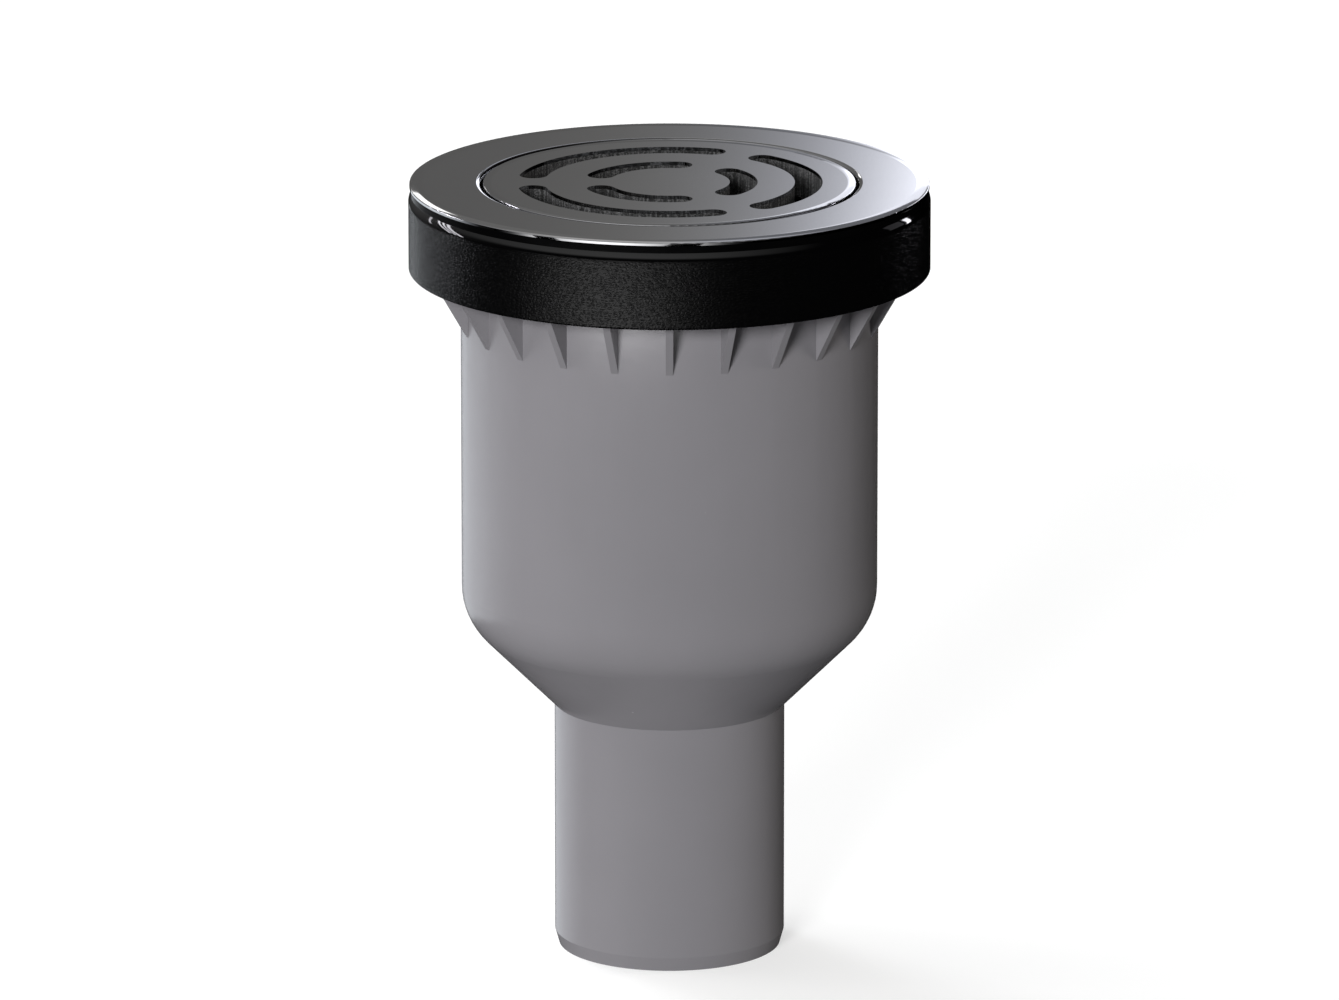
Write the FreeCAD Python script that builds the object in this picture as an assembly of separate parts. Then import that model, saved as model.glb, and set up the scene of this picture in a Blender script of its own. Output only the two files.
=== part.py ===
import FreeCAD, Part

import math
import os

Vector = FreeCAD.Vector
UP = Vector(0, 0, 1)
ORIGIN = Vector(0, 0, 0)

# A shower trap with a vertical outlet, in millimetres. +Z is up along the common axis, and the
# origin is the centre of the outlet's lower end. Water goes through the grate and the funnel, down
# the dip tube, up inside the cup and over its rim, then down between cup and body to the outlet.

# Trap body: outlet spigot, cone, barrel and gusseted flange, moulded in one
outlet_radius = 25.0
outlet_length = 54.4
outlet_lead_height = 3.1
outlet_lead_depth = 0.87
cone_angle = 45.0
shoulder_radius = 15.0
barrel_radius = 45.1
body_wall = 2.8
body_edge = 0.5
flange_thickness = 4.0
gusset_count = 24
gusset_thickness = 1.6
gusset_height = 16.6
gusset_angle = 30.0

# Tray seal: a rubber ring with an L-shaped section that caps the flange
seal_bulge = 0.4
seal_wall = 3.5
seal_thickness = 8.7
seal_skirt = 8.0
seal_edge_height = 1.75
seal_edge_radius = 3.1
seal_foot_radius = 0.5
seal_skirt_clearance = 0.2

# Clamp flange: plate, neck through the seal, and the screwed spigot in the body's bore
clamp_inset = 0.14
clamp_thickness = 1.65
clamp_edge = 0.2
neck_wall = 2.5
neck_clearance = 0.3
thread_clearance = 0.25
spigot_length = 14.0
spigot_wall = 2.45
ledge_width = 2.1
ledge_depth = 6.45
key_count = 4
key_width = 5.0
key_depth = 2.2
key_height = 8.0

# Cover plate: a pressed ring with a margin that curves down and a rolled inner lip
cover_reach = 10.94
cover_thickness = 0.75
cover_margin = 2.94
cover_margin_fall = 0.13
cover_margin_round = 30.0
cover_edge = 0.15
cover_lip_roll = 0.95
cover_lip_depth = 2.3
lip_clearance = 0.25

# Grate: a slotted disc, its margin curved down, on a moulded carrier with the same slots and skirts
grate_gap = 0.54
grate_sink = 0.05
grate_thickness = 0.8
grate_margin = 2.0
grate_margin_fall = 0.05
grate_margin_round = 30.0
grate_edge = 0.15
slot_rings = 2
slot_margin = 10.16
slot_pitch = 14.0
slots_per_ring = 3
slot_width = 6.0
slot_web = 6.5
web_angle = 60.0
carrier_deck = 3.0
carrier_wall = 3.0
skirt_wall = 1.4
skirt_depth = 7.5
skirt_clearance = 0.5
grate_ring_section = 2.4
grate_ring_reach = 0.6
ring_slack = 0.02

# Dip tube: flange, sealed collar, funnel, tube, cup fins and bayonet pegs, moulded in one
insert_flange = 1.6
insert_clearance = 0.3
collar_height = 6.0
funnel_angle = 30.0
dip_gap = 7.7
dip_wall = 1.8
dip_ring_section = 2.4
tab_width = 14.0
tab_reach = 3.5
tab_thickness = 2.0
tab_drop = 3.0
fin_thickness = 2.4
fin_height = 26.0
fin_clearance = 0.3
peg_radius = 1.6
peg_stand = 0.6

# Water cup: a plain cup with three bayonet posts that stand on its rim
water_seal = 50.0
rim_drop = 20.0
cup_gap = 6.8
cup_lift = 5.0
cup_wall = 1.8
cup_floor = 2.0
cup_round = 5.0
cup_clearance = 11.5
post_count = 3
post_width = 18.0
post_height = 8.0
post_angle = 90.0
peg_height = 4.8
bayonet_travel = 8.0
bayonet_clearance = 0.3

# Levels along the axis: the cup hangs over the cone, and its water seal sets the barrel's length
cone_slope = math.tan(math.radians(cone_angle))
z_cone = outlet_length
z_barrel = z_cone + (barrel_radius - outlet_radius) / cone_slope
z_cup_base = z_barrel + cup_lift
z_cup_floor = z_cup_base + cup_floor
z_dip_end = z_cup_floor + cup_clearance
z_rim = z_dip_end + water_seal
z_ledge = z_rim + rim_drop
z_insert_top = z_ledge + insert_flange
z_clamp_top = z_ledge + ledge_depth
z_clamp = z_clamp_top - clamp_thickness
z_flange_top = z_clamp - seal_thickness
z_flange = z_flange_top - flange_thickness
z_top = z_clamp_top + cover_thickness
z_lip = z_top - cover_lip_depth
z_grate = z_top - grate_sink
z_deck = z_grate - grate_thickness
z_grate_ring = (z_insert_top + z_lip) / 2
z_dip_ring = z_ledge - collar_height / 2

# Radii of the flange and of what is stacked on it, from the barrel outwards
cover_radius = barrel_radius + cover_reach
clamp_radius = cover_radius - clamp_inset
seal_radius = clamp_radius + seal_bulge
skirt_bore = seal_radius - seal_wall
flange_radius = skirt_bore - seal_skirt_clearance

# Radii inside the body, from its bore inwards
body_bore = barrel_radius - body_wall
spigot_radius = body_bore - thread_clearance
spigot_bore = spigot_radius - spigot_wall
clamp_bore = spigot_bore + ledge_width
neck_radius = clamp_bore + neck_wall
lip_outer = clamp_bore - lip_clearance
lip_inner = lip_outer - cover_thickness
grate_radius = lip_inner - grate_gap
slot_radii = [grate_radius - slot_margin - i * slot_pitch for i in range(slot_rings)]
insert_radius = clamp_bore - insert_clearance
collar_radius = spigot_bore - insert_clearance
collar_bore = slot_radii[0] + slot_width / 2 + skirt_wall + skirt_clearance
cup_radius = body_bore - cup_gap
cup_bore = cup_radius - cup_wall
dip_radius = cup_bore - dip_gap
dip_bore = dip_radius - dip_wall
fin_reach = cup_bore - fin_clearance
grate_ring_floor = lip_inner + grate_ring_reach - grate_ring_section
dip_ring_floor = spigot_bore - dip_ring_section - ring_slack


def section(corners):
    """Closed face in the XZ plane from (radius, height, rounding) corners, each rounded by an arc."""
    points = [Vector(r, 0, z) for r, z, rounding in corners]
    runs = []
    for i, (r, z, rounding) in enumerate(corners):
        before = points[i - 1] - points[i]
        after = points[(i + 1) % len(points)] - points[i]
        half = before.getAngle(after) / 2
        before.normalize()
        after.normalize()
        middle = (before + after).normalize() * (rounding / math.sin(half) - rounding)
        reach = rounding / math.tan(half)
        runs.append((points[i] + before * reach, points[i] + middle, points[i] + after * reach))
    edges = []
    for i, (start, middle, end) in enumerate(runs):
        edges.append(Part.LineSegment(runs[i - 1][2], start).toShape())
        if corners[i][2]:
            edges.append(Part.Arc(start, middle, end).toShape())
    return Part.Face(Part.Wire(edges))


def turned(*corners):
    """Solid of revolution about the trap's axis from (radius, height) or (radius, height, rounding)."""
    return section([(*c, 0)[:3] for c in corners]).revolve(ORIGIN, UP, 360)


def ring_of(shape, count, first=0.0):
    """Copies of a shape spread evenly about the axis, the first turned to the given angle."""
    copies = []
    for i in range(count):
        turn = shape.copy()
        turn.rotate(ORIGIN, UP, first + i * 360.0 / count)
        copies.append(turn)
    return copies


def o_ring(inner_radius, thickness, height):
    """Rubber ring of round section that lies on the given inner radius."""
    return Part.makeTorus(inner_radius + thickness / 2, thickness / 2, Vector(0, 0, height), UP)


def body_outline(inset):
    """Corners of the body's wall, moved inwards square to it, from the cone's foot to the barrel."""
    lean = math.radians(cone_angle)
    foot = inset * math.tan(lean / 2)
    return (
        (outlet_radius - inset, z_cone + foot),
        (barrel_radius - inset, z_barrel + foot, shoulder_radius - inset),
    )


def trap_body():
    outer_foot, outer_shoulder = body_outline(0)
    inner_foot, inner_shoulder = body_outline(body_wall)
    shell = turned(
        (outlet_radius - outlet_lead_depth, 0),
        (outlet_radius, outlet_lead_height),
        outer_foot,
        outer_shoulder,
        (barrel_radius, z_flange),
        (flange_radius, z_flange, body_edge),
        (flange_radius, z_flange_top, body_edge),
        (body_bore + body_edge, z_flange_top),
        (body_bore, z_flange_top - body_edge),
        inner_shoulder,
        inner_foot,
        (outlet_radius - body_wall, body_edge),
        (outlet_radius - body_wall + body_edge, 0),
    )
    return shell.fuse(gussets()).removeSplitter()


def gussets():
    """Thin triangles that carry the flange, trimmed by the flange's edge."""
    tip = z_flange - gusset_height
    middle = flange_thickness / 2
    reach = (gusset_height + middle) * math.tan(math.radians(gusset_angle))
    root = barrel_radius - body_wall / 2
    corners = (
        (root, tip),
        (barrel_radius, tip),
        (barrel_radius + reach, z_flange + middle),
        (root, z_flange + middle),
    )
    points = [Vector(r, -gusset_thickness / 2, z) for r, z in corners]
    blade = Part.Face(Part.makePolygon(points + points[:1])).extrude(Vector(0, gusset_thickness, 0))
    blade = blade.common(Part.makeCylinder(flange_radius - body_edge, z_flange_top))
    return ring_of(blade, gusset_count)


def tray_seal():
    z_foot = z_flange_top - seal_skirt
    z_round = z_clamp - seal_edge_height
    bore = neck_radius + neck_clearance
    ring = turned(
        (skirt_bore, z_foot, seal_foot_radius),
        (seal_radius, z_foot, seal_foot_radius),
        (seal_radius, z_round),
        (bore, z_round),
        (bore, z_flange_top),
        (skirt_bore, z_flange_top),
    )

    def crown_point(angle):
        """Point of the rounded top edge, from upright at the angle 0 to the clamp flange."""
        inset = seal_edge_radius * (1 - math.cos(angle))
        return Vector(seal_radius - inset, 0, z_round + seal_edge_radius * math.sin(angle))

    sweep = math.asin(seal_edge_height / seal_edge_radius)
    start, middle, end = (crown_point(sweep * share) for share in (0, 0.5, 1))
    inner_end = Vector(bore, 0, z_clamp)
    inner_start = Vector(bore, 0, z_round)
    crown = [
        Part.Arc(start, middle, end).toShape(),
        Part.LineSegment(end, inner_end).toShape(),
        Part.LineSegment(inner_end, inner_start).toShape(),
        Part.LineSegment(inner_start, start).toShape(),
    ]
    return ring.fuse(Part.Face(Part.Wire(crown)).revolve(ORIGIN, UP, 360)).removeSplitter()


def clamp_flange():
    z_end = z_flange_top - spigot_length
    shell = turned(
        (clamp_bore, z_clamp_top),
        (clamp_bore, z_ledge),
        (spigot_bore, z_ledge),
        (spigot_bore, z_end),
        (spigot_radius - body_edge, z_end),
        (spigot_radius, z_end + body_edge),
        (spigot_radius, z_flange_top),
        (neck_radius, z_flange_top),
        (neck_radius, z_clamp),
        (clamp_radius, z_clamp, clamp_edge),
        (clamp_radius, z_clamp_top, clamp_edge),
    )
    key = Part.makeBox(key_depth + spigot_wall / 2, key_width, key_height)
    key.translate(Vector(spigot_bore - key_depth, -key_width / 2, z_end))
    return shell.fuse(ring_of(key, key_count, 180.0 / key_count)).removeSplitter()


def cover_plate():
    return turned(
        (cover_radius, z_clamp_top),
        (cover_radius, z_top - cover_margin_fall, cover_edge),
        (cover_radius - cover_margin / 2, z_top, cover_margin_round),
        (lip_inner, z_top, cover_lip_roll),
        (lip_inner, z_lip),
        (lip_outer, z_lip),
        (lip_outer, z_clamp_top, cover_lip_roll - cover_thickness),
    )


def slot(radius, low, high, skirt=0.0):
    """Curved slot with full-round ends, between two heights, or its skirt's outside."""
    end_offset = (slot_web + slot_width) / 2
    half = math.pi / slots_per_ring - math.asin(end_offset / radius)
    side = slot_width / 2 + skirt

    def at(r, angle):
        return Vector(r * math.cos(angle), r * math.sin(angle), low)

    def cap(end):
        along = Vector(-math.sin(end * half), math.cos(half), 0)
        return at(radius, end * half) + along * (end * side)

    inner = radius - side
    outer = radius + side
    outline = [
        Part.Arc(at(outer, -half), at(outer, 0), at(outer, half)).toShape(),
        Part.Arc(at(outer, half), cap(1), at(inner, half)).toShape(),
        Part.Arc(at(inner, half), at(inner, 0), at(inner, -half)).toShape(),
        Part.Arc(at(inner, -half), cap(-1), at(outer, -half)).toShape(),
    ]
    return Part.Face(Part.Wire(outline)).extrude(Vector(0, 0, high - low))


def slots(low, high, skirt=0.0):
    """All the slots of the grate, with one web at the web angle."""
    first = web_angle + 180.0 / slots_per_ring
    rings = [ring_of(slot(radius, low, high, skirt), slots_per_ring, first) for radius in slot_radii]
    return [one for ring in rings for one in ring]


def grate_plate():
    disc = turned(
        (0, z_deck),
        (grate_radius, z_deck),
        (grate_radius, z_grate - grate_margin_fall, grate_edge),
        (grate_radius - grate_margin / 2, z_grate, grate_margin_round),
        (0, z_grate),
    )
    return disc.cut(slots(z_deck, z_grate))


def grate_carrier():
    half = grate_ring_section / 2 + ring_slack
    groove = grate_ring_floor - ring_slack
    z_skirt = z_grate - skirt_depth
    deck = turned(
        (0, z_deck),
        (grate_radius, z_deck),
        (grate_radius, z_grate_ring + half),
        (groove, z_grate_ring + half),
        (groove, z_grate_ring - half),
        (grate_radius, z_grate_ring - half),
        (grate_radius, z_insert_top),
        (grate_radius - carrier_wall, z_insert_top),
        (grate_radius - carrier_wall, z_deck - carrier_deck),
        (0, z_deck - carrier_deck),
    )
    skirts = slots(z_skirt, z_deck - carrier_deck / 2, skirt_wall)
    return deck.fuse(skirts).cut(slots(z_skirt, z_deck)).removeSplitter()


def grate_ring():
    return o_ring(grate_ring_floor, grate_ring_section, z_grate_ring)


def dip_tube():
    slope = math.tan(math.radians(funnel_angle))
    lift = dip_wall / math.cos(math.radians(funnel_angle))
    z_collar = z_ledge - collar_height

    def under(r):
        """Height of the funnel's underside at a radius."""
        return z_collar - (collar_radius - r) * slope

    half = dip_ring_section / 2 + ring_slack
    groove = dip_ring_floor - ring_slack
    shell = turned(
        (insert_radius, z_insert_top, body_edge),
        (insert_radius, z_ledge),
        (collar_radius, z_ledge),
        (collar_radius, z_dip_ring + half),
        (groove, z_dip_ring + half),
        (groove, z_dip_ring - half),
        (collar_radius, z_dip_ring - half),
        (collar_radius, z_collar),
        (dip_radius, under(dip_radius)),
        (dip_radius, z_dip_end),
        (dip_bore, z_dip_end),
        (dip_bore, under(dip_bore) + lift),
        (collar_bore, under(collar_bore) + lift),
        (collar_bore, z_insert_top),
    )
    tab_root = (groove - collar_bore) / 2
    tab = Part.makeBox(tab_reach + tab_root, tab_width, tab_thickness)
    tab.translate(Vector(collar_bore - tab_reach, -tab_width / 2, z_ledge - tab_drop - tab_thickness))

    z_peg = z_rim + peg_height
    root = dip_radius - dip_wall / 2
    fin_corners = (
        (root, z_peg - fin_height - (fin_reach - root)),
        (fin_reach, z_peg - fin_height),
        (fin_reach, under(fin_reach) + lift / 2),
        (root, under(root) + lift / 2),
    )
    points = [Vector(r, -fin_thickness / 2, z) for r, z in fin_corners]
    fin = Part.Face(Part.makePolygon(points + points[:1])).extrude(Vector(0, fin_thickness, 0))
    peg_start = fin_reach - 2 * peg_radius
    peg_length = cup_radius + peg_stand - peg_start
    peg = Part.makeCylinder(peg_radius, peg_length, Vector(peg_start, 0, z_peg), Vector(1, 0, 0))
    extras = ring_of(tab, 2, post_angle) + ring_of(fin.fuse(peg), post_count, post_angle)
    return shell.fuse(extras).removeSplitter()


def dip_tube_ring():
    return o_ring(dip_ring_floor, dip_ring_section, z_dip_ring)


def water_cup():
    cup = turned(
        (0, z_cup_base),
        (cup_radius, z_cup_base, cup_round),
        (cup_radius, z_rim),
        (cup_bore, z_rim),
        (cup_bore, z_cup_floor, cup_round - cup_wall),
        (0, z_cup_floor),
    )
    z_post = z_rim + post_height
    wall = turned(
        (cup_bore, z_rim - cup_wall),
        (cup_radius, z_rim - cup_wall),
        (cup_radius, z_post),
        (cup_bore, z_post),
    )
    depth = cup_radius + peg_stand
    side = peg_radius + bayonet_clearance
    z_slot = z_rim + peg_height - bayonet_clearance
    post = Part.makeBox(depth, post_width, z_post)
    post.translate(Vector(0, (bayonet_travel - post_width) / 2, 0))
    arm = Part.makeBox(depth, bayonet_travel, 2 * side)
    arm.translate(Vector(0, 0, z_slot - side))
    entry = Part.makeBox(depth, 2 * side, z_post - z_slot + side)
    entry.translate(Vector(0, bayonet_travel - side, z_slot))
    ends = [
        Part.makeCylinder(side, depth, Vector(0, y, z_slot), Vector(1, 0, 0))
        for y in (0, bayonet_travel)
    ]
    post = wall.common(post).cut([arm, entry] + ends)
    return cup.fuse(ring_of(post, post_count, post_angle)).removeSplitter()


os.makedirs("parts", exist_ok=True)
pieces = (
    trap_body,
    tray_seal,
    clamp_flange,
    cover_plate,
    grate_plate,
    grate_carrier,
    grate_ring,
    dip_tube,
    dip_tube_ring,
    water_cup,
)
for piece in pieces:
    piece().exportStep(f"parts/{piece.__name__}.step")
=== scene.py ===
import math

import bpy
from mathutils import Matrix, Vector


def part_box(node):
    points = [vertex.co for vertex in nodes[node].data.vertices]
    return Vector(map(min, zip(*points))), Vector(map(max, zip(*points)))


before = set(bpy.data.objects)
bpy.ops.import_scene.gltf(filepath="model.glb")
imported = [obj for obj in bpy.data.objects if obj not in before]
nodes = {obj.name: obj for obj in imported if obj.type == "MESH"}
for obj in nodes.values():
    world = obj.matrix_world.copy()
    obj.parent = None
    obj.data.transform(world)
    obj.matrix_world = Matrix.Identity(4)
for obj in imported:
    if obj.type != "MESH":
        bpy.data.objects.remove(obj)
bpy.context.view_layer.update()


# The trap body is one grey plastic moulding with its spigot, cone, barrel, gussets and flange. It
# leaves a polished mould, so its skin is satin with a faint orange peel and a little dust-fine grain.
class Field:
    """A value that varies over a surface. Arithmetic on it adds Math nodes to its finish."""

    def __init__(self, finish, socket):
        self.finish = finish
        self.socket = socket

    def math(self, operation, *terms):
        return self.finish.node("Math", {"operation": operation}, dict(enumerate(terms)))

    def __add__(self, other):
        return self.math("ADD", self, other)

    def __radd__(self, other):
        return self.math("ADD", other, self)

    def __sub__(self, other):
        return self.math("SUBTRACT", self, other)

    def __rsub__(self, other):
        return self.math("SUBTRACT", other, self)

    def __mul__(self, other):
        return self.math("MULTIPLY", self, other)

    def __rmul__(self, other):
        return self.math("MULTIPLY", other, self)

    def __truediv__(self, other):
        return self.math("DIVIDE", self, other)

    def __rtruediv__(self, other):
        return self.math("DIVIDE", other, self)

    def __pow__(self, other):
        return self.math("POWER", self, other)

    def __rpow__(self, other):
        return self.math("POWER", other, self)


class Finish:
    """The shader nodes of one material or of the room's light."""

    def __init__(self, owner):
        owner.use_nodes = True
        self.owner = owner
        self.tree = owner.node_tree
        self.tree.nodes.clear()

    def node(self, kind, settings, sockets, output=0):
        """Adds a shader node: its settings first, then the values or fields of its sockets."""
        made = self.tree.nodes.new("ShaderNode" + kind)
        for name, value in settings.items():
            setattr(made, name, value)
        for name, value in sockets.items():
            if isinstance(value, Field):
                self.tree.links.new(value.socket, made.inputs[name])
            else:
                made.inputs[name].default_value = value
        return Field(self, made.outputs[output]) if made.outputs else None

    def place(self):
        """Position on the object, in metres."""
        return self.node("TexCoord", {}, {}, "Object")

    def axis(self, name):
        """One coordinate of the position."""
        return self.node("SeparateXYZ", {}, {"Vector": self.place()}, name)

    def along(self, direction):
        """Share of the position that lies along a direction."""
        values = {0: self.place(), 1: direction}
        return self.node("VectorMath", {"operation": "DOT_PRODUCT"}, values, "Value")

    def stretched(self, along_x, along_y, along_z):
        """Position with each axis scaled, so that a pattern on it is drawn out."""
        scale = {"Vector": self.place(), "Scale": (along_x, along_y, along_z)}
        return self.node("Mapping", {"vector_type": "POINT"}, scale)

    def noise(self, size, detail=2.0, vector=None):
        """Cloudy noise about 0.5 whose lumps have the given size."""
        values = {"Vector": vector or self.place(), "Scale": 1.0 / size, "Detail": detail}
        return self.node("TexNoise", {}, values)

    def cells(self, size, feature, vector=None):
        """Distances in a pattern of rounded cells of the given size."""
        values = {"Vector": vector or self.place(), "Scale": 1.0 / size}
        return self.node("TexVoronoi", {"feature": feature}, values)

    def step(self, value, low, high):
        """Smooth rise from 0 to 1 while the value goes from low to high."""
        values = {"Value": value, "From Min": low, "From Max": high}
        return self.node("MapRange", {"interpolation_type": "SMOOTHSTEP"}, values)

    def blend(self, share, first, second):
        """Colour between the first and the second."""
        values = {0: share, 6: first, 7: second}
        return self.node("Mix", {"data_type": "RGBA"}, values, 2)

    def bump(self, height, depth, below=None):
        """Normal of a relief of the given depth, laid over another relief."""
        values = {"Height": height, "Distance": depth}
        if below:
            values["Normal"] = below
        return self.node("Bump", {}, values)

    def surface(self, values):
        """Ends the material in a Principled shader with the given socket values."""
        shader = self.node("BsdfPrincipled", {}, values)
        self.node("OutputMaterial", {}, {"Surface": shader})
        return self.owner


def finish_of(name):
    """New material with no nodes yet."""
    return Finish(bpy.data.materials.new(name))


def dress(node, material):
    """Puts the material on every slot of a node of the frame."""
    for slot in nodes[node].material_slots:
        slot.material = material


def satin_moulding(name, dark, light, rough):
    """Satin plastic: cloudy colour, slow orange peel under a dust-fine grain, uneven gloss."""
    cloud_size = 0.018
    peel_size = 0.0045
    peel_depth = 0.00006
    grain_size = 0.00035
    grain_depth = 0.000006
    smear_size = 0.0028
    smear = 0.12
    finish = finish_of(name)
    cloud = finish.noise(cloud_size, 3.0)
    flow = finish.noise(cloud_size, 4.0, finish.stretched(1.0, 1.0, 0.25))
    peel = finish.bump(finish.noise(peel_size), peel_depth)
    grain = finish.bump(finish.noise(grain_size, 3.0), grain_depth, peel)
    return finish.surface({
        "Base Color": finish.blend(0.5 * cloud + 0.5 * flow, dark, light),
        "Roughness": rough + smear * (finish.noise(smear_size, 4.0) - 0.5),
        "Specular IOR Level": 0.5,
        "Normal": grain,
    })


body_dark = (0.188, 0.183, 0.195, 1.0)
body_light = (0.217, 0.211, 0.226, 1.0)
body_rough = 0.24
dress("trap_body", satin_moulding("body_plastic", body_dark, body_light, body_rough))


# The tray seal is a deep black rubber ring that caps the body's flange. Its mould is leather-grained
# on the wall, and polished where the rounded top edge meets the shower tray. The polish is a coat.
seal_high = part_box("tray_seal")[1]
seal_black = (0.0010, 0.0010, 0.0011, 1.0)
# Painted shade: the grain's creases keep the black, and its crests take this lighter tone.
seal_painted_crest = (0.0014, 0.0014, 0.0015, 1.0)
crown_foot = seal_high.z - 0.00175
crown_blend = 0.0004
crown_rough = 0.05
wall_rough = 0.18
crease_polish = 0.04
dust_rough = 0.10
leather_cell = 0.0009
leather_crease = 0.35
leather_dust = 0.00028
leather_drift = 0.00144
leather_depth = 0.000045
ripple_scale = 900.0
ripple_reach = (0.0007, 0.0007, 0.0007)
flattening = 1.8

leather = finish_of("seal_rubber")
ripple = leather.node("TexNoise", {}, {"Vector": leather.place(), "Scale": ripple_scale}, "Color")
warp = leather.node(
    "VectorMath",
    {"operation": "MULTIPLY_ADD"},
    {0: ripple, 1: ripple_reach, 2: leather.stretched(1.0, 1.0, flattening)},
)
drift = leather.noise(leather_drift, 2.0)
crease = leather.step(leather.cells(leather_cell, "DISTANCE_TO_EDGE", warp), 0.0, leather_crease)
dust = leather.noise(leather_dust, 3.0, warp)
wall = 1.0 - leather.step(leather.axis("Z"), crown_foot - crown_blend, crown_foot)
relief = wall * (0.9 * crease + 0.2 * dust + 0.2 * drift)
dress("tray_seal", leather.surface({
    # The base colour paints shade into the grain: darker in its creases than on its crests.
    "Base Color": leather.blend(wall * crease, seal_black, seal_painted_crest),
    "Roughness": crown_rough + wall * (wall_rough - crease_polish * crease + dust_rough * (dust - 0.5)),
    "Specular IOR Level": 0.12,
    "Coat Weight": leather.step(leather.axis("Z"), crown_foot, crown_foot + crown_blend),
    "Coat Roughness": 0.05,
    "Coat IOR": 1.42,
    "Normal": leather.bump(relief, leather_depth),
}))


# The clamp flange is a glossy black moulding. Its edge shows as a narrow band between the seal and
# the cover plate, and its threaded spigot runs down inside the body.
clamp_black = (0.0008, 0.0008, 0.0009, 1.0)
clamp_grey = (0.0016, 0.0016, 0.0017, 1.0)
clamp_cloud = 0.012
clamp_smear = 0.0015
clamp_peel = 0.004
clamp_depth = 0.00004
clamp = finish_of("black_plastic")
dress("clamp_flange", clamp.surface({
    "Base Color": clamp.blend(clamp.noise(clamp_cloud, 3.0), clamp_black, clamp_grey),
    "Roughness": 0.10 + 0.08 * clamp.noise(clamp_smear, 4.0),
    "Specular IOR Level": 0.02,
    "Normal": clamp.bump(clamp.noise(clamp_peel), clamp_depth),
}))


# The water cup hangs on the dip tube by three bayonet posts and holds the water seal. It is a plain
# satin moulding in a lighter grey than the body.
cup_dark = (0.225, 0.226, 0.235, 1.0)
cup_light = (0.27, 0.271, 0.28, 1.0)
cup_rough = 0.34
dress("water_cup", satin_moulding("cup_plastic", cup_dark, cup_light, cup_rough))


# The dip tube is the black moulding under the grate: a funnel, a sealed collar, two finger tabs and
# the tube that dips into the cup.
insert_dark = (0.016, 0.016, 0.017, 1.0)
insert_light = (0.026, 0.026, 0.027, 1.0)
insert_rough = 0.36
dress("dip_tube", satin_moulding("insert_plastic", insert_dark, insert_light, insert_rough))


# Two rubber rings of round section seal the collar and steady the grate. They are moulded, smooth
# and lightly greased, with a dull bloom here and there.
ring_black = (0.010, 0.010, 0.010, 1.0)
ring_bloom = (0.020, 0.020, 0.021, 1.0)
bloom_size = 0.003
ring_grain = 0.0006
ring_depth = 0.00002
rubber = finish_of("ring_rubber")
bloom = rubber.noise(bloom_size, 4.0)
dress("grate_ring", rubber.surface({
    "Base Color": rubber.blend(bloom, ring_black, ring_bloom),
    "Roughness": 0.28 + 0.2 * bloom,
    "Normal": rubber.bump(rubber.noise(ring_grain, 3.0), ring_depth),
}))
dress("dip_tube_ring", rubber.owner)


# The grate carrier is the coarse black moulding under the polished disc. Its slot walls are seen
# through the grate: a spark-eroded grain, drawn out into vertical scores.
carrier_black = (0.016, 0.016, 0.016, 1.0)
# Painted glints: this grey marks the specks where the grain stands high; their lower roughness is real.
carrier_painted_glint = (0.13, 0.13, 0.132, 1.0)
spark_size = 0.0003
score_width = 0.0006
score_reach = 0.05
carrier_depth = 0.0002
glint_low = 0.18
glint_high = 0.42
coarse = finish_of("grained_plastic")
spark = coarse.noise(spark_size, 4.0)
scores = coarse.noise(score_width, 3.0, coarse.stretched(1.0, 1.0, score_reach))
glint = coarse.step(spark * scores, glint_low, glint_high)
dress("grate_carrier", coarse.surface({
    # The base colour paints glints as lighter grey specks on the grain's high points.
    "Base Color": coarse.blend(glint, carrier_black, carrier_painted_glint),
    "Roughness": 0.62 - 0.3 * glint,
    "Normal": coarse.bump(0.6 * spark + 0.6 * scores, carrier_depth),
}))


# The grate and the cover plate are bright steel, polished to a mirror. The cover is a pressed ring
# bonded on the clamp flange, and the grate is a slotted disc bonded on its carrier.
steel_dark = (0.57, 0.57, 0.585, 1.0)
steel_light = (0.62, 0.62, 0.635, 1.0)
haze_size = 0.02
swirl_size = 0.0008
swirl_depth = 0.0000004
steel = finish_of("polished_steel")
swirl = steel.noise(swirl_size, 5.0, steel.stretched(1.0, 0.2, 1.0))
haze = steel.noise(haze_size, 4.0)
mirror = steel.surface({
    "Base Color": steel.blend(haze, steel_dark, steel_light),
    "Metallic": 1.0,
    "Roughness": 0.025 + 0.03 * haze * swirl,
    "Normal": steel.bump(swirl, swirl_depth),
})
dress("grate_plate", mirror)
dress("cover_plate", mirror)


# The floor is a plain pale sheet of painted board that the trap stands on. It takes a soft shadow but
# gives no light back, as the room of the photograph is darker than its floor.
def panel(name, corners, finish):
    """Flat four-sided sheet of the room."""
    mesh = bpy.data.meshes.new(name)
    mesh.from_pydata([tuple(corner) for corner in corners], [], [(0, 1, 2, 3)])
    mesh.materials.append(finish.owner)
    sheet = bpy.data.objects.new(name, mesh)
    bpy.context.scene.collection.objects.link(sheet)
    return sheet


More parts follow.
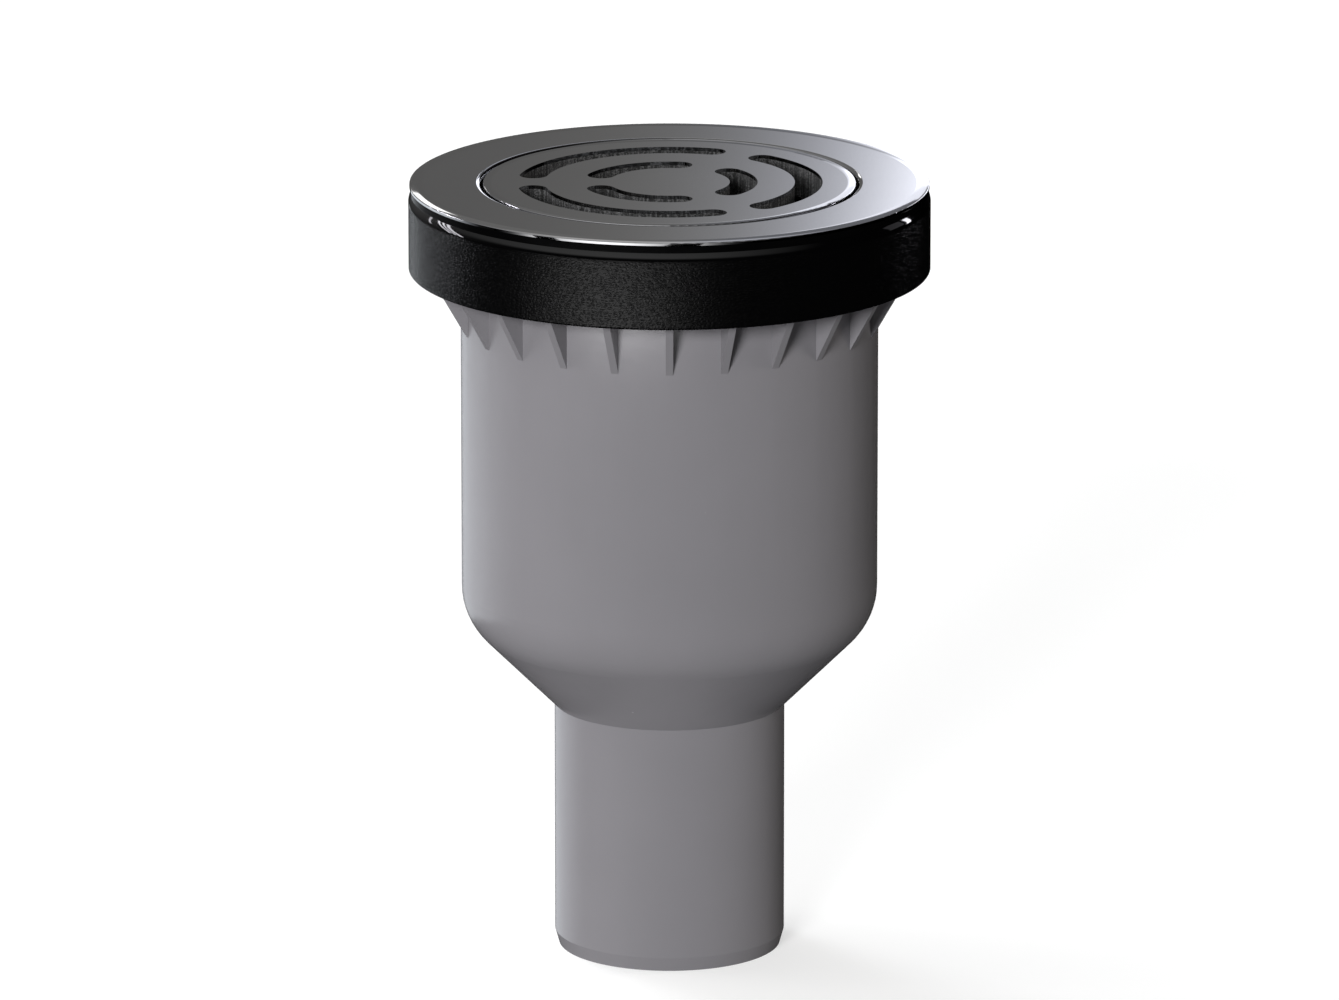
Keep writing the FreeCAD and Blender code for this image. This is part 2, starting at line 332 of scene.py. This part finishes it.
floor_reach = 14.0
floor_dark = (0.44, 0.44, 0.44, 1.0)
floor_light = (0.46, 0.46, 0.46, 1.0)
floor_cloud = 0.4
floor_glow = 0.57
board = finish_of("floor_paint")
paint = board.blend(board.noise(floor_cloud), floor_dark, floor_light)
matt = board.node("BsdfDiffuse", {}, {"Color": paint})
glowing = board.node("Emission", {}, {"Strength": floor_glow})
board.node("OutputMaterial", {}, {"Surface": board.node("AddShader", {}, {0: matt, 1: glowing})})
floor = panel("floor", [
    (-floor_reach, -floor_reach, 0.0),
    (floor_reach, -floor_reach, 0.0),
    (floor_reach, floor_reach, 0.0),
    (-floor_reach, floor_reach, 0.0),
], board)
floor.visible_diffuse = False
floor.visible_glossy = False
floor.visible_shadow = False


# A wall stands far behind the trap, and the polished plates mirror it: dark grey on the left, rising
# to white on the right, with a dim strip above, a window at its left and a pale strip over that.
def mirrored(name, corners, finish, colour, strength):
    """Glowing sheet that shows in reflections only and lights nothing."""
    shine = finish.node("Emission", {}, {"Color": colour, "Strength": strength})
    finish.node("OutputMaterial", {}, {"Surface": shine})
    sheet = panel(name, corners, finish)
    sheet.visible_camera = False
    sheet.visible_diffuse = False
    sheet.visible_shadow = False


card_away = 20.0
card_half = 5.0
card_low = -1.0
card_high = 12.0
card_edge = 0.06
card_dark = 0.125
card_rise = 0.062
card_span = 0.161
card_white = 1.9
card_light = 1.2
lift_rate = 1.6
lift_height = 4.8
lift_least = 0.15
lit_top = 4.87
lit_right = 1.1
side_level = 0.3
dim_low = 5.64
dim_level = 0.17
pale_low = 7.25
pale_rise = 0.5
pale_left = -1.1
pale_right = -0.8
pale_level = 0.5
window_right = -0.9
window_low = 5.3
window_high = 6.35
warm = (1.0, 0.99, 0.97, 1.0)
cool = (0.96, 0.98, 1.07, 1.0)
warm_end = -0.15
cool_start = 0.36

card = finish_of("grey_card")
across = card.axis("X")
height = card.axis("Z")
lift = 1.0 + lift_rate * (height - lift_height)
lift = lift.math("MAXIMUM", lift, lift_least)
grade = card_dark + card_rise * lift * math.e ** (across / card_span)
over = card.step(height, lit_top, lit_top + 4.0 * card_edge)
level = grade.math("MINIMUM", grade, card_white + over * (card_light - card_white))
level = level + over * card.step(across, lit_right, lit_right + card_edge) * (side_level - level)
level = level + card.step(height, dim_low, dim_low + card_edge) * (dim_level - level)
pale = card.step(height, pale_low, pale_low + pale_rise) * card.step(across, pale_left, pale_right)
level = level + pale * (pale_level - level)
window = 1.0 - card.step(across, window_right - card_edge, window_right)
window = window * card.step(height, window_low, window_low + card_edge)
window = window * (1.0 - card.step(height, window_high - card_edge, window_high))
level = level + window * (card_white - level)
mirrored("grey_card", [
    (-card_half, card_away, card_low),
    (card_half, card_away, card_low),
    (card_half, card_away, card_high),
    (-card_half, card_away, card_high),
], card, card.blend(card.step(across, warm_end, cool_start), warm, cool), level)


# Leaning strip lights stand close behind the trap on the left, and two on the right. They light
# nothing, but their reflections draw the thin streaks on the seal's polished top edge.
def toward(azimuth, elevation):
    """Unit vector: azimuth 0 is the camera's side and grows to the right, elevation is upwards."""
    a = math.radians(azimuth)
    e = math.radians(elevation)
    return Vector((math.sin(a) * math.cos(e), -math.cos(a) * math.cos(e), math.sin(e)))


def strip_light(name, eye, foot, head, low, high, width, power):
    """Strip seen from a point on the seal's edge: azimuths of its foot and head, lowest and highest
    elevation, and width, in degrees."""
    ends = ((foot, low), (foot + width, low), (head + width, high), (head, high))
    corners = [eye + strip_away * toward(*end) for end in ends]
    mirrored(name, corners, finish_of(name), strip_colour, power)


strip_colour = (0.95, 0.93, 1.0, 1.0)
strip_away = 0.2
width = 2.2
bright = 8.0
up = toward(0.0, 90.0)
left = seal_high.z * up + seal_high.x * toward(-60.0, 0.0)
right = seal_high.z * up + seal_high.x * toward(63.0, 0.0)
strip_light("strip_a", left, foot=-130.0, head=-135.0, low=-4.0, high=18.0, width=width, power=0.4 * bright)
strip_light("strip_b", left, foot=-112.0, head=-136.0, low=-6.0, high=26.0, width=width, power=bright)
strip_light("strip_c", left, foot=-107.0, head=-133.0, low=-6.0, high=28.0, width=width, power=bright)
strip_light("strip_d", left, foot=-103.0, head=-130.0, low=-6.0, high=30.0, width=1.6 * width, power=bright)
strip_light("strip_e", right, foot=127.0, head=127.0, low=-4.0, high=20.0, width=2.0 * width, power=bright)
strip_light("strip_f", right, foot=111.0, head=111.0, low=0.0, high=20.0, width=6.0 * width, power=0.24)


# A glowing sheet stands off behind the trap on the left, lower than the floor, which reflections pass
# through. It shows as the light edge down the left side of the barrel and the spigot.
sheet_top = -0.15
sheet_foot = -0.52
sheet_power = 0.92
sheet_fade = 0.9
sheet_colour = (0.95, 1.0, 1.05, 1.0)
sheet_side = 1.89 * toward(-92.0, 0.0)
sheet_back = 1.57 * toward(-164.0, 0.0)
glow = finish_of("glow_sheet")
mirrored("glow_sheet", [
    sheet_side + sheet_foot * up,
    sheet_back + sheet_foot * up,
    sheet_back + sheet_top * up,
    sheet_side + sheet_top * up,
], glow, sheet_colour, sheet_power * glow.step(glow.axis("Y"), 0.0, sheet_fade))


# Two small glowing sheets hang close in front of the trap, a little to the left. The near one is the
# soft patch on the seal's grained wall, and the other one lights the front of the cover's rim.
def front_glow(name, side, away, low, high, width, power):
    """Upright sheet that faces the trap and fades to its sides as a bell curve of the given width."""
    finish = finish_of(name)
    sideways = toward(side + 90.0, 0.0)
    aside = finish.along(sideways) / width
    middle = away * toward(side, 0.0)
    reach = 3.0 * width * sideways
    mirrored(name, [
        middle - reach + low * up,
        middle + reach + low * up,
        middle + reach + high * up,
        middle - reach + high * up,
    ], finish, white, power * math.e ** (-1.0 * aside * aside))


white = (1.0, 1.0, 1.0, 1.0)
front_glow("seal_glow", side=-20.0, away=0.1, low=0.131, high=0.155, width=0.04, power=5.0)
front_glow("rim_glow", side=-23.0, away=0.15, low=0.144, high=0.155, width=0.06, power=1.9)


# The room's soft light is brightest at the back on the left, with a large soft lamp in front on the
# left that shades the gussets, and weaker ones round it. The lamps show in no reflection.
def lamp(name, azimuth, elevation, width, strength, colour):
    """Far round lamp of the given width in degrees."""
    light = bpy.data.lights.new(name, "SUN")
    light.color = colour
    light.angle = math.radians(width)
    light.energy = math.pi * strength
    holder = bpy.data.objects.new(name, light)
    holder.rotation_euler = toward(azimuth, elevation).to_track_quat("Z", "Y").to_euler()
    holder.visible_glossy = False
    bpy.context.scene.collection.objects.link(holder)


plain = (1.0, 1.0, 1.0)
warmer = (1.0, 0.96, 0.88)
cooler = (0.95, 1.0, 1.04)
lamp("key", azimuth=-17.5, elevation=16.0, width=18.0, strength=1.09, colour=plain)
lamp("right", azimuth=100.0, elevation=20.0, width=14.0, strength=0.30, colour=warmer)
lamp("left", azimuth=-100.0, elevation=12.0, width=30.0, strength=0.30, colour=plain)
lamp("left_back", azimuth=-142.0, elevation=18.0, width=22.0, strength=0.50, colour=cooler)

room = Finish(bpy.data.worlds.new("room"))


def lobe(azimuth, elevation, power):
    """Broad glow of the room about one direction, 1 at its middle."""
    facing = room.along(toward(azimuth, elevation))
    return facing.math("MAXIMUM", facing, 0.0) ** power


back_light = 3.6
low_light = 0.22
under_light = 1.15
back_gleam = 0.3
gleam_rise = 0.3
soft = back_light * lobe(-135.0, 35.0, 4.0) + low_light * lobe(-135.0, -35.0, 4.0)
soft = soft + under_light * lobe(0.0, -90.0, 2.0)
gleam = back_gleam * lobe(-135.0, 35.0, 4.0)
gleam = gleam + room.step(room.axis("Z"), 0.0, gleam_rise) * lobe(-25.0, 25.0, 1.5)
glossy = room.node("LightPath", {}, {}, "Is Glossy Ray")
sky = room.node("Background", {}, {"Strength": soft + glossy * (gleam - soft)})
room.node("OutputWorld", {}, {"Surface": sky})
bpy.context.scene.world = room.owner


# The camera looks at the middle of the trap from the front and a little above, through a long lens,
# as in the photograph.
camera_distance = 2.7774
camera_elevation = 14.7516
camera_aim = 0.09928
camera = bpy.data.objects.new("camera", bpy.data.cameras.new("camera"))
camera.data.lens = 344.5
camera.data.sensor_width = 36.0
camera.data.clip_end = 100.0
camera.location = camera_aim * up + camera_distance * toward(0.0, camera_elevation)
camera.rotation_euler = (math.radians(90.0 - camera_elevation), 0.0, 0.0)
bpy.context.scene.collection.objects.link(camera)
bpy.context.scene.camera = camera
bpy.context.scene.view_settings.view_transform = "Standard"
